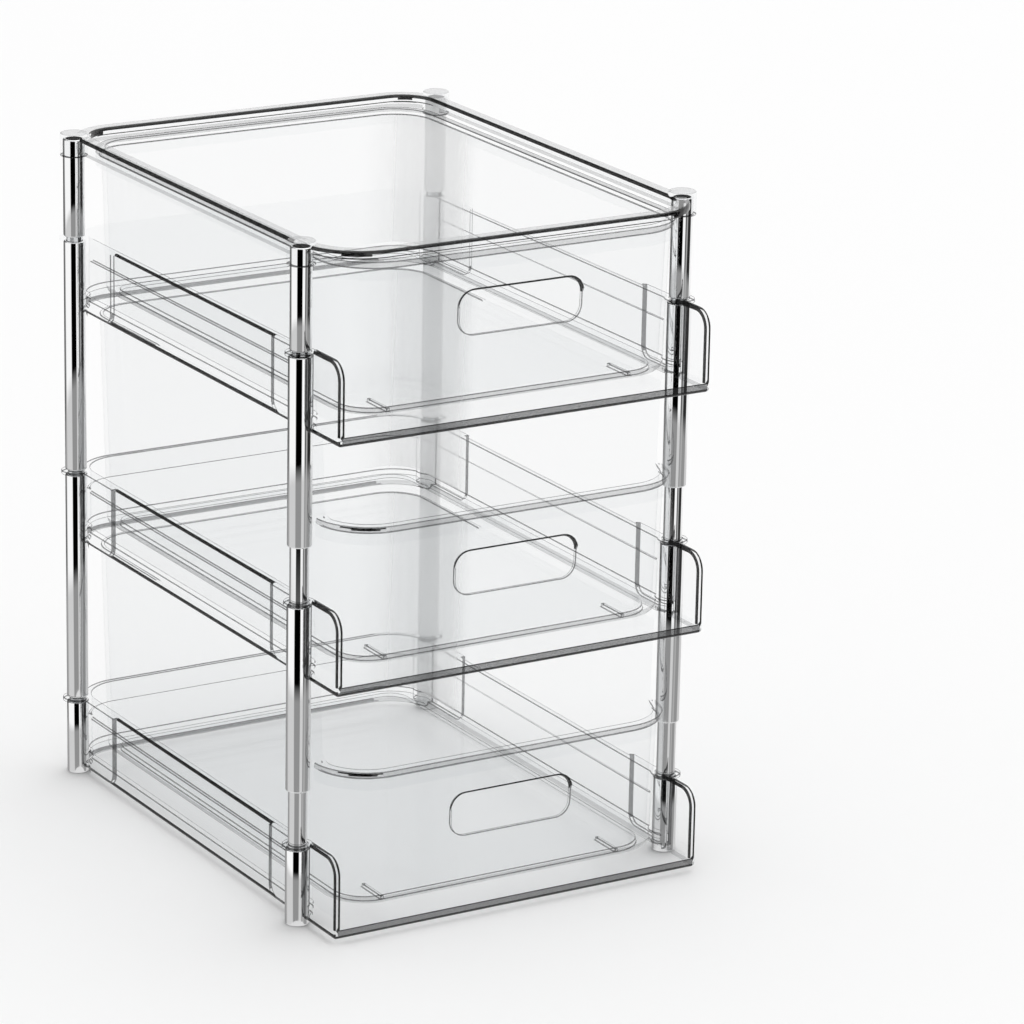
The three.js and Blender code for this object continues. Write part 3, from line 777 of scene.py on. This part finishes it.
# %% [markdown]
# ### Putting a drawer together
# The rim joins the outside first, so that the room cuts both at once and leaves one even wall. On the two
# deep drawers a round-cornered box takes the front away down to its lower rim. A recess below leaves the foot
# that the drawer slides on.

# %% Putting a drawer together
BASE_ROUND, ROOM_LOW, ROOM_ROUND = 5, 4.8, 2.8
FOOT_WIDTH, FOOT_DEPTH = 7, 2.6
SIDE_END, DROP_ROUND = -117, 6
LIGHT_VEIL_FROM = {"x": 48, "y": 60}


def drawer(name, base, front_height, side_height):
    """A whole drawer on its base height."""
    is_deep = side_height > front_height
    top = base + front_height
    body = tub(name, front_height, 0, side_height, 0, BASE_ROUND, base)
    # Painted shade: pale grey on the rounded foot where it faces the camera.
    finish_faces(body, PALE_SHADE_LINE, lambda centre, normal: -0.97 < normal.z < -0.15
                 and towards_camera(normal) > -0.1)
    # Painted light: the upright faces in the rear right corner get the pale veil.
    split(body, LIGHT_VEIL_FROM["y"], (0, 1, 0))
    split(body, LIGHT_VEIL_FROM["x"], (1, 0, 0))
    finish_faces(body, LIGHT_VEIL_FACE, lambda centre, normal: abs(normal.z) < 0.15
                 and centre.y > LIGHT_VEIL_FROM["y"] * MM and centre.x > LIGHT_VEIL_FROM["x"] * MM)
    rim = drawer_rim(top, is_deep)
    if is_deep:
        drop = box("drop", (-BEYOND, -152, top), (BEYOND, SIDE_END, base + side_height + 2))
        pick(drop, "EDGE", lambda a, b: max(a.z, b.z) < (top + 1) * MM
             and min(a.y, b.y) > (SIDE_END - 1) * MM)
        bpy.ops.mesh.bevel(offset=DROP_ROUND * MM, segments=6, affect="EDGES")
        done(drop)
        cut(body, drop)
        combine(rim, "INTERSECT", box("ahead", (-BEYOND, -152, base), (BEYOND, SIDE_END, top + 1)))
    join(body, rim)
    cut(body, tub("room", front_height, ROOM_LOW, side_height + 2, DRAWER_WALL, ROOM_ROUND, base))
    foot = shrunk(RIM, lean(front_height, 0) + FOOT_WIDTH)
    cut(body, block("recess", foot, base - 2, base + FOOT_DEPTH))
    cut(body, finger_slot(top - SLOT_BELOW - SLOT_HALF_HEIGHT))
    tidy(body)
    # Painted shade: dark on the finger slot's edges and grey on the last sharp edges; some edges near the rim
    # stay clear.
    soften(body, 1.5, DARK_SHADE_LINE, lambda a, b: max(abs(a.x), abs(b.x)) < (SLOT_HALF + 1) * MM
           and max(a.y, b.y) < -140.9 * MM
           and min(a.z, b.z) > (top - 35) * MM and max(a.z, b.z) < (top - 21) * MM)
    soften(body, 0.4, CLEAR_FACE, lambda a, b: max(a.z, b.z) < (top - 8) * MM
           and min(a.z, b.z) > (top - 11) * MM)
    soften(body, 0.4, CLEAR_FACE, lambda a, b: max(a.z, b.z) > (top + 1) * MM
           and min(a.y, b.y) < -112 * MM)
    soften(body, 0.5, GREY_SHADE_LINE, lambda a, b: not is_deep or abs(a.y - SIDE_END * MM) > 2 * MM
           or abs(b.y - SIDE_END * MM) > 2 * MM)
    return smooth(body)


# %% [markdown]
# ### The three drawers
# The two lower drawers are the same moulding, so the second is a copy one storey up. The top one has a level
# rim, because the ring leaves it no room for high sides.

# %% Drawers
LOW_FRONT, HIGH_SIDES, LEVEL_RIM = 74, 118.2, 80


def lifted(collar):
    """The height of a drawer's base in the tray at a collar."""
    return COLLARS[collar] - TRAY_HEIGHT + DRAWER_LIFT


deep = drawer("clear_bottom_drawer", lifted("bottom"), LOW_FRONT, HIGH_SIDES)
stand_for(deep, "lower_bin", "clear_drawer", "bottom_drawer")
middle = copied(deep, "clear_middle_drawer", (0, 0, STOREY))
stand_for(middle, "middle_bin", "clear_drawer", "middle_drawer")
shallow = drawer("clear_top_drawer", lifted("top"), LEVEL_RIM, LEVEL_RIM)
stand_for(shallow, "upper_bin", "clear_drawer", "top_drawer")
print("drawers:", len(deep.data.polygons), len(shallow.data.polygons), "faces")

# %% [markdown]
# ## Trays
# A tray is a low tub, open at the front. It starts as a block with round edges, and its room, the wider guide
# for the drawer and the hollow underside are cut out. Cheeks with a bead close its front corners, blocks and
# sleeves hold the posts, two short ribs stop the drawer, and a bar runs along its front edge.

# %% Tray shell
TOP_ROUND, FOOT_ROUND, FOOT_LINE = 1.2, 2, 3.1
GUIDE_INSET, GUIDE_DEPTH, ROOM_DEPTH = 4.2, 14, 12
FLOOR_THICK, LIP_HEIGHT = 2.4, 5
LINE_END = 80


def tray_shell(name, low, top):
    """The low tub with its room, guide, hollow underside and open front."""
    floor = low + TRAY_FLOOR
    body = block(name, TRAY, low, top)
    round_level(body, top, TOP_ROUND, 3)
    round_level(body, low, FOOT_ROUND, 4)
    split(body, low + FOOT_LINE)
    # Painted shade: the round top and foot edges are dark at the left and the front, grey at the back and
    # pale grey at the right side; the foot's band at the left is dark too.
    finish_faces(body, DARK_SHADE_LINE, lambda centre, normal: 0.1 < abs(normal.z) < 0.98 and normal.x < 0.1
                 and centre.y < LINE_END * MM)
    finish_faces(body, DARK_SHADE_LINE, lambda centre, normal: abs(normal.z) < 0.1 and normal.x < -0.5
                 and centre.z < (low + FOOT_LINE) * MM)
    finish_faces(body, GREY_SHADE_LINE, lambda centre, normal: 0.1 < abs(normal.z) < 0.98 and normal.x < 0.1
                 and centre.y >= LINE_END * MM)
    finish_faces(body, PALE_SHADE_LINE, lambda centre, normal: 0.1 < abs(normal.z) < 0.98 and normal.x >= 0.1)
    inner = (TRAY[0] - TRAY_WALL, FRONT - 4, REAR - TRAY_WALL, 2, TRAY[4] - TRAY_WALL)
    guide = (TRAY[0] - GUIDE_INSET, FRONT - 4, REAR - GUIDE_INSET, 2, TRAY[4] - GUIDE_INSET)
    under = (TRAY[0] - TRAY_WALL, FRONT + 4, REAR - TRAY_WALL, 2, TRAY[4] - TRAY_WALL)
    return cut(
        body,
        block("room", inner, floor, top - ROOM_DEPTH),
        block("guide", guide, top - GUIDE_DEPTH, top + 2),
        block("under", under, low - 2, floor - FLOOR_THICK),
        box("above_lip", (-BEYOND, FRONT - 2, low + LIP_HEIGHT), (BEYOND, FRONT + 2, top + 2)),
        box("cheek_place", (-BEYOND, FRONT - 2, floor), (BEYOND, FRONT_POST_Y, top + 2)),
    )


# %% [markdown]
# ### Cheeks
# A cheek closes a front corner of the tray, and a bead round its free edge stiffens it and is painted dark as
# shade, so that it shows as a dark frame. It is a box with a rounded corner, whose broad faces are inset and
# sunk a little, so that the bead is what is left. A bead laid on as a bar would have to follow the corner.

# %% Cheek
CHEEK_THICK, CHEEK_RISE, CHEEK_ROUND = 4.2, 2, 10
BEAD, BEAD_ROUND, BEAD_REACH = 3, 2, 44
PART_LOW = 2.5


def cheek_part(side, low, top):
    """The plate that closes a front corner, with a recess inside its bead, which is painted dark as shade."""
    outer = side * TRAY[0]
    inside = outer - side * CHEEK_THICK
    thick = sorted((outer, inside))
    cheek = box("cheek", (thick[0], FRONT, low + PART_LOW), (thick[1], FRONT_POST_Y, top + CHEEK_RISE))
    pick(cheek, "EDGE", lambda a, b: abs(a.x - b.x) > 1 * MM and max(a.y, b.y) < (FRONT + 1) * MM
         and min(a.z, b.z) > top * MM)
    bpy.ops.mesh.bevel(offset=CHEEK_ROUND * MM, segments=8, affect="EDGES")
    done(cheek)
    pick(cheek, "FACE", lambda centre, normal: abs(normal.x) > 0.9)
    bpy.ops.mesh.inset(thickness=BEAD * MM, depth=-0.6 * MM, use_individual=True)
    done(cheek)
    # Painted shade: dark on the bead's round edges, its narrow faces and parts of its broad faces.
    soften(cheek, BEAD_ROUND, DARK_SHADE_LINE, lambda a, b: abs(a.x - b.x) < SNAP
           and min(abs(a.x - outer * MM), abs(a.x - inside * MM)) < SNAP
           and min(a.y, b.y) < (FRONT_POST_Y - 1) * MM and max(a.z, b.z) > (low + 3) * MM, steps=3)
    finish_faces(cheek, DARK_SHADE_LINE, lambda centre, normal: abs(normal.x) < 0.1
                 and centre.z > (low + 3) * MM and centre.y < (FRONT_POST_Y - 1) * MM)
    finish_faces(cheek, CLEAR_FACE, lambda centre, normal: -0.4 < normal.x < -0.15)
    return finish_faces(
        cheek, DARK_SHADE_LINE, lambda centre, normal: abs(normal.x) > 0.99 and centre.z > (low + 10) * MM
        and (centre.y < (FRONT + 2.9) * MM or centre.z > (top - 2) * MM
             or (centre - Vector((centre.x, FRONT_POST_Y * MM, low * MM))).length > BEAD_REACH * MM))


# %% [markdown]
# ### Post corners
# A block and a half sleeve hold each post to the tray. The tube from below ends under a thin round lug, and
# the pin goes on through the lug to the next tube. The sleeve is a round bar, whose outer half is cut away
# below the lug, so that the tube shows there from the side.

# %% Post corners
SLEEVE, SLEEVE_SIDE, SLEEVE_ROUND = 8, 109.9, 6


def join_corner(body, side, y, start, end, low, top):
    """Joins the block and the half sleeve that hold a post to a tray."""
    faces = sorted((side * (TRAY[0] - TRAY_WALL), side * SLEEVE_SIDE))
    wall = box("wall", (faces[0], start, low + PART_LOW), (faces[1], end, top))
    far = end if y == FRONT_POST_Y else start
    pick(wall, "EDGE", lambda a, b: abs(a.x - b.x) > 1 * MM and abs(a.y - far * MM) < 0.1 * MM
         and max(a.z, b.z) < (low + 3) * MM)
    bpy.ops.mesh.bevel(offset=SLEEVE_ROUND * MM, segments=6, affect="EDGES")
    done(wall)
    # Painted shade: grey on the block's far end face.
    finish_faces(wall, GREY_SHADE_LINE, lambda centre, normal: abs(normal.y) > 0.9
                 and abs(centre.y - far * MM) < 1 * MM)
    sleeve = rod("sleeve", side * POST_X, y, SLEEVE, low + PART_LOW, top)
    beyond = sorted((side * SLEEVE_SIDE, side * BEYOND))
    cut(sleeve, box("beyond", (beyond[0], y - 20, low - 2), (beyond[1], y + 20, top - LUG)))
    join(body, wall, sleeve)


def cut_post_room(body, side, y, leg, pin, low, top):
    """Cuts a tray for a post: the tube below its lug, the pin through it, and the room above."""
    cut(
        body,
        rod("leg", side * POST_X, y, leg + GAP, low - 2, top - LUG),
        rod("pin", side * POST_X, y, pin + GAP, top - 4, top + 2),
        rod("over", side * POST_X, y, SLEEVE, top, top + 6),
    )


# %% [markdown]
# ### Putting a tray together
# The parts join the shell on both sides, and a post's room is cut once its corner stands, as the corner would
# fill it again. The edges are rounded last. The front bar's top edge is painted dark and its front face grey,
# as shade, which is how its two lines show in the photo.

# %% Putting a tray together
RIB_X, RIB_FRONT, RIB_REAR = 70, -133, -113
FRONT_BLOCK_END, REAR_BLOCK = -85, (92, 140)


def tray(name, top):
    """A whole tray below its top height."""
    low = top - TRAY_HEIGHT
    floor = low + TRAY_FLOOR
    body = tray_shell(name, low, top)
    for side in (-1, 1):
        join(body, cheek_part(side, low, top))
        rib_low = (side * RIB_X - 1, RIB_FRONT, floor - 1)
        join(body, box("rib", rib_low, (side * RIB_X + 1, RIB_REAR, floor + 2)))
        for y, start, end, leg, pin in (
            (FRONT_POST_Y, FRONT_POST_Y, FRONT_BLOCK_END, FRONT_LEG, NECK),
            (REAR_POST_Y, *REAR_BLOCK, REAR_LEG, THIN_PIN),
        ):
            join_corner(body, side, y, start, end, low, top)
            cut_post_room(body, side, y, leg, pin, low, top)
    tidy(body)
    # Painted shade: dark on the front bar's top edge, grey on its front face and on the other edges.
    soften(body, 1.6, DARK_SHADE_LINE, lambda a, b: max(a.y, b.y) < (FRONT + 1) * MM
           and max(a.x, b.x) - min(a.x, b.x) > 100 * MM and min(a.z, b.z) > (low + 4) * MM)
    finish_faces(body, GREY_SHADE_LINE, lambda centre, normal: normal.y < -0.99
                 and centre.y < (FRONT + 0.1) * MM and centre.z < floor * MM and abs(centre.x) < 90 * MM)
    soften(body, 0.5, GREY_SHADE_LINE, lambda a, b: min(a.z, b.z) > floor * MM
           or min(a.y, b.y) > (FRONT + 12) * MM or max(abs(a.x), abs(b.x)) < 101 * MM)
    return smooth(body)


bottom_tray = tray("clear_bottom_tray", COLLARS["bottom"])
stand_for(bottom_tray, "stand", "clear_tray", "bottom_tray")
stand_for(copied(bottom_tray, "clear_middle_tray", (0, 0, STOREY)), "stand", "clear_tray", "middle_tray")
top_tray = copied(bottom_tray, "clear_top_tray", (0, 0, 2 * STOREY))
# The top tray's back wall top edge gets no painted shade.
finish_faces(top_tray, CLEAR_FACE, lambda centre, normal: centre.y > 60 * MM and centre.z > 286 * MM)
stand_for(top_tray, "stand", "clear_tray", "top_tray")
print("tray:", len(bottom_tray.data.polygons), "faces")

# %% [markdown]
# ## Floor and light
# A pale matt floor fills the view. An even white sky lights it, a wide soft sun gives the shadow its
# direction, and a ring of panels that only mirrors see stands round the object for the chrome. Mirrors don't
# see the floor, as an upright tube that is seen from above would mirror nothing else.

# %% Floor
bpy.ops.object.select_all(action="DESELECT")
bpy.ops.mesh.primitive_plane_add(size=14)
floor = bpy.context.object
floor.name = "floor"
FLOOR, floor_shader = new_material("pale_floor")
floor_shader.inputs["Base Color"].default_value = (0.9, 0.9, 0.9, 1)
floor_shader.inputs["Roughness"].default_value = 0.9
floor_shader.inputs["Specular IOR Level"].default_value = 0.1
paint(floor, FLOOR)
floor.visible_glossy = False
floor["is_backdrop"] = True
print("floor:", tuple(round(v, 1) for v in floor.dimensions))

# %% [markdown]
# ### Sky and sun
# The sky alone would give no shadow direction. The sun is as wide as a large softbox, from the right and
# behind, so the shadow falls softly to the left and the front as in the photo.

# %% Sky and sun
world = bpy.data.worlds.new("studio")
bpy.context.scene.world = world
world.use_nodes = True
world.node_tree.nodes["Background"].inputs["Color"].default_value = (1, 1, 1, 1)
world.node_tree.nodes["Background"].inputs["Strength"].default_value = 0.75

key = bpy.data.objects.new("key", bpy.data.lights.new("key", "SUN"))
key.data.energy, key.data.angle = 1.15, math.radians(60)
bpy.context.scene.collection.objects.link(key)
key.rotation_euler = Vector((-0.3, -0.25, -1)).to_track_quat("-Z", "Y").to_euler()
print("sun:", key.data.energy, "sky:", world.node_tree.nodes["Background"].inputs["Strength"].default_value)

# %% [markdown]
# ### Mirror panels
# A photographer sets black and white cards round chrome, so that it shows crisp dark and light stripes. The
# cards stand here as one tall cylinder without ends. Single cards would work too, but a cylinder leaves no
# gaps between them. Only glossy rays see it.

# %% Mirror panels
PANEL_RADIUS, PANEL_LOW, PANEL_HIGH = 3, -2, 3
bpy.ops.object.select_all(action="DESELECT")
bpy.ops.mesh.primitive_cylinder_add(
    vertices=96, radius=PANEL_RADIUS, depth=PANEL_HIGH - PANEL_LOW, end_fill_type="NOTHING",
    location=(0, 0, (PANEL_LOW + PANEL_HIGH) / 2))
wall = bpy.context.object
wall.name = "mirror_panels"
bpy.ops.object.transform_apply(location=True, rotation=True, scale=True)
for kind in ("camera", "diffuse", "transmission", "shadow", "volume_scatter"):
    setattr(wall, "visible_" + kind, False)
print("mirror panels:", tuple(round(v, 1) for v in wall.dimensions))

# %% [markdown]
# ### Stripes
# The panels' brightness is a ramp of stripes over the compass angle, in degrees from the right, with a tone
# between 0, black, and 1, white, at each. A ramp needs no picture and stays crisp at any size. It turns
# greyer low down, in the part that the lower tubes mirror.

# %% Stripes
LOW_GREY, GREY_SHARE, GREY_FADE = 0.45, 0.65, (-0.9, -0.72)
STRIPE_TONES = ((-180, 1.0), (-160, 1.0), (-155, 0.0), (-106, 0.0), (-104, 1.0), (-80, 1.0), (-78, 0.1),
                (-74, 0.1), (-68, 0.1), (-64, 0.4), (-54, 0.4), (-50, 0.02), (-14, 0.03), (-10, 0.95),
                (69, 0.95), (73, 0.06), (108, 0.06), (112, 0.25), (130, 0.25), (134, 1.0), (180, 1.0))
STRIPES = bpy.data.materials.new("stripes")
STRIPES.use_nodes = True
stripe_tree = STRIPES.node_tree
stripe_tree.nodes.clear()
panel_place = add(STRIPES, "ShaderNodeTexCoord").outputs["Object"]
panel_xyz = add(STRIPES, "ShaderNodeSeparateXYZ", Vector=panel_place)
turn = maths(STRIPES, "ARCTAN2", panel_xyz.outputs["Y"], panel_xyz.outputs["X"])
share = add(STRIPES, "ShaderNodeMapRange", Value=turn)
share.inputs["From Min"].default_value, share.inputs["From Max"].default_value = -math.pi, math.pi
band = stripe_tree.nodes.new("ShaderNodeValToRGB")
stripe_tree.links.new(share.outputs["Result"], band.inputs["Fac"])
for at, value in STRIPE_TONES[1:-1]:
    band.color_ramp.elements.new((at + 180) / 360)
for element, (at, value) in zip(band.color_ramp.elements, STRIPE_TONES):
    element.position, element.color = (at + 180) / 360, (value, value, value, 1)
fade = stretched(STRIPES, panel_xyz.outputs["Z"], GREY_FADE, (GREY_SHARE, 0.0))
faded = stripe_tree.nodes.new("ShaderNodeMix")
faded.data_type = "RGBA"
stripe_tree.links.new(fade.outputs["Result"], faded.inputs["Factor"])
stripe_tree.links.new(band.outputs["Color"], faded.inputs[6])
faded.inputs[7].default_value = (LOW_GREY, LOW_GREY, LOW_GREY, 1)
glow = add(STRIPES, "ShaderNodeEmission", Color=faded.outputs[2], Strength=1.0)
out = stripe_tree.nodes.new("ShaderNodeOutputMaterial")
stripe_tree.links.new(glow.outputs[0], out.inputs["Surface"])
paint(wall, STRIPES)
wall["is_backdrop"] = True
print("stripes:", len(STRIPE_TONES), "tones")

# %% [markdown]
# ### Light paths and tones
# A ray to the far post crosses up to two dozen clear faces, so many see-through steps are allowed. The plain
# standard tones keep the white background white.

# %% Light paths and tones
scene = bpy.context.scene
scene.view_settings.view_transform = "Standard"
scene.cycles.max_bounces = 32
scene.cycles.transmission_bounces = 28
scene.cycles.glossy_bounces = 8
scene.cycles.transparent_max_bounces = 24
scene.cycles.caustics_reflective = False
print("see-through steps:", scene.cycles.transparent_max_bounces)

# %% Size of the visual model
low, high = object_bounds()
print("visual box:", [round(v / MM, 2) for v in (*low, *high)])
